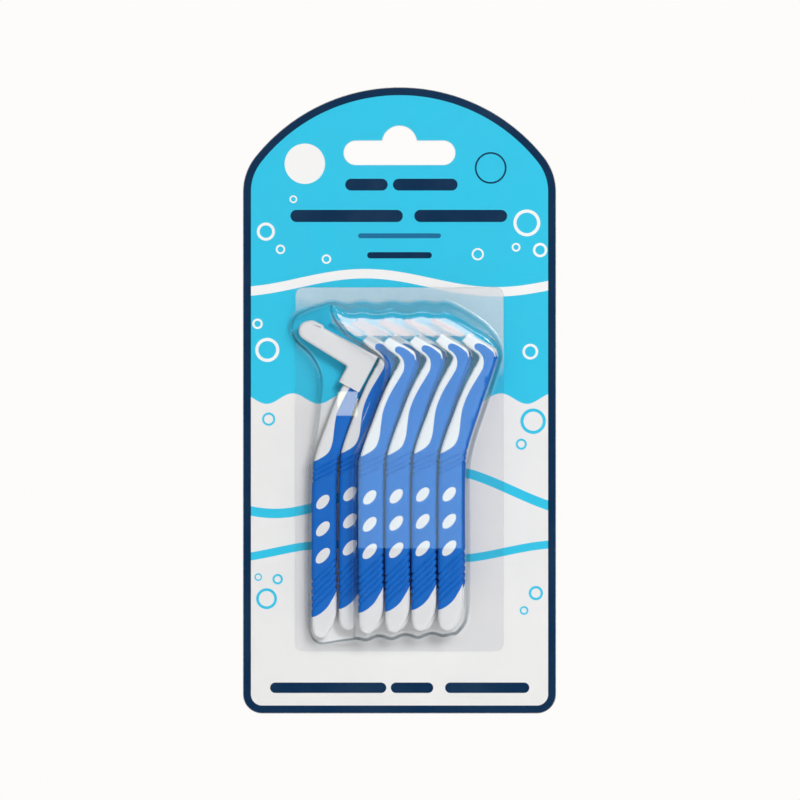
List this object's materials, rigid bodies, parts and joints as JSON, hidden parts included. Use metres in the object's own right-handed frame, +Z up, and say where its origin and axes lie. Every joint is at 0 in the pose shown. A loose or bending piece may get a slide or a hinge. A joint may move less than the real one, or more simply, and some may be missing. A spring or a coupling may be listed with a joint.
{
  "type": "interdental brush pack",
  "caption": "Carded clear blister pack of angled interdental brushes, one with its travel cap, on an arched card with a hang slot.",
  "frame": {"origin": "where the top of the hang slot rests on a hook, in the plane of the card's back", "axes": "+Z up the card, +X across it, and the front of the pack faces -Y"},
  "size_m": [0.09, 0.0112, 0.18],
  "materials": {
    "printed_card": "satin printed card, cyan over off-white with a navy border",
    "clear_film": "clear thermoformed film",
    "core_plastic": "satin moulded white plastic",
    "soft_grip": "satin blue soft grip",
    "steel_wire": "twisted stainless wire",
    "nylon_bristle": "fine nylon filament"
  },
  "bodies": {
    "card": {"backing_card": "printed_card"},
    "back_brushes": {"brush_1_handle": "core_plastic", "brush_1_grip": "soft_grip", "brush_1_wire": "steel_wire", "brush_1_bristles": "nylon_bristle", "brush_2_handle": "core_plastic", "brush_2_grip": "soft_grip", "brush_2_wire": "steel_wire", "brush_2_bristles": "nylon_bristle", "brush_7_handle": "core_plastic", "brush_7_grip": "soft_grip", "brush_7_wire": "steel_wire", "brush_7_bristles": "nylon_bristle", "brush_8_handle": "core_plastic", "brush_8_grip": "soft_grip", "brush_8_wire": "steel_wire", "brush_8_bristles": "nylon_bristle", "brush_9_handle": "core_plastic", "brush_9_grip": "soft_grip", "brush_9_wire": "steel_wire", "brush_9_bristles": "nylon_bristle", "brush_10_handle": "core_plastic", "brush_10_grip": "soft_grip", "brush_10_wire": "steel_wire", "brush_10_bristles": "nylon_bristle"},
    "front_brushes": {"brush_3_handle": "core_plastic", "brush_3_grip": "soft_grip", "brush_3_wire": "steel_wire", "brush_3_bristles": "nylon_bristle", "brush_4_handle": "core_plastic", "brush_4_grip": "soft_grip", "brush_4_wire": "steel_wire", "brush_4_bristles": "nylon_bristle", "brush_5_handle": "core_plastic", "brush_5_grip": "soft_grip", "brush_5_wire": "steel_wire", "brush_5_bristles": "nylon_bristle", "brush_6_handle": "core_plastic", "brush_6_grip": "soft_grip", "brush_6_wire": "steel_wire", "brush_6_bristles": "nylon_bristle"},
    "film": {"blister": "clear_film"},
    "cap": {"travel_cap": "core_plastic"}
  },
  "joints": [
    {"name": "back_row_lift", "type": "slide", "parent": "card", "child": "back_brushes", "axis": [0, -1, 0], "range_m": [0, 0.03]},
    {"name": "front_row_lift", "type": "slide", "parent": "back_brushes", "child": "front_brushes", "axis": [0, -1, 0], "range_m": [0, 0.03]},
    {"name": "film_lift", "type": "slide", "parent": "front_brushes", "child": "film", "axis": [0, -1, 0], "range_m": [0, 0.09]},
    {"name": "cap_pull", "type": "slide", "parent": "back_brushes", "child": "cap", "axis": [-0.8829, 0, 0.4695], "range_m": [0, 0.018]}
  ],
  "couplings": [
    {"joint": "cap_pull", "follows": "film_lift", "ratio": 0.2}
  ]
}
